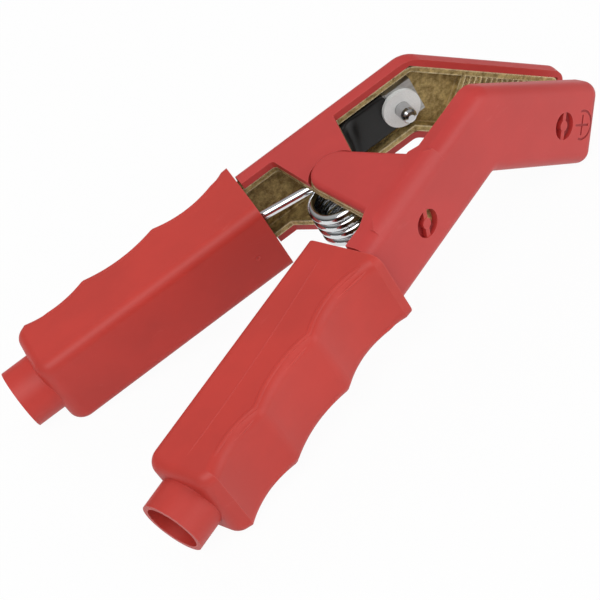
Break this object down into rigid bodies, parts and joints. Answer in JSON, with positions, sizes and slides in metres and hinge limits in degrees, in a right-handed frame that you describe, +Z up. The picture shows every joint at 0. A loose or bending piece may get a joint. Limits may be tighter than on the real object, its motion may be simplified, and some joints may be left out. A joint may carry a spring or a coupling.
{
  "type": "jumper cable clamp",
  "caption": "Red insulated clamp with bent, toothed brass jaws under moulded covers, a coil spring, finger-grooved grips, cable spouts and a sleeved link.",
  "frame": {"origin": "centre of the bounding box's base, on the surface that the clamp lies on", "axes": "+X towards the jaws, +Y from half B to half A, +Z up; the clamp lies on its side, on the jaws' tips and the grips' rear corners, so its pivot leans about 11 degrees"},
  "size_m": [0.2258, 0.1202, 0.0604],
  "materials": {
    "brass": "rough cast, bright where ground",
    "red_plastic": "satin moulded",
    "red_grip": "matt moulded",
    "plain_steel": "turned",
    "zinc_plate": "zinc plated",
    "tinned_plate": "tin plated, satin",
    "spring_wire": "bright plated wire",
    "braid": "braided copper",
    "black_sleeve": "matt shrunk sleeve"
  },
  "bodies": {
    "half_b": {"jaw_b": "brass", "cover_b": "red_plastic", "grip_b": "red_grip", "pivot_rivet": "plain_steel", "stud_b": "plain_steel", "washer_b": "zinc_plate", "lug_b": "tinned_plate", "torsion_spring": "spring_wire", "link_braid": "braid", "link_sleeve": "black_sleeve"},
    "half_a": {"jaw_a": "brass", "cover_a": "red_plastic", "grip_a": "red_grip", "stud_a": "plain_steel", "washer_a": "zinc_plate", "lug_a": "tinned_plate"}
  },
  "joints": [
    {"name": "squeeze", "type": "hinge", "parent": "half_b", "child": "half_a", "pos_m": [0.01212, 0, 0.03636], "axis": [-0.1911, 0, 0.9816], "range_deg": [0, 26], "stiffness_Nm_per_rad": 4.9, "springref_deg": -28.65, "deforming": ["torsion_spring", "link_braid", "link_sleeve"]}
  ]
}
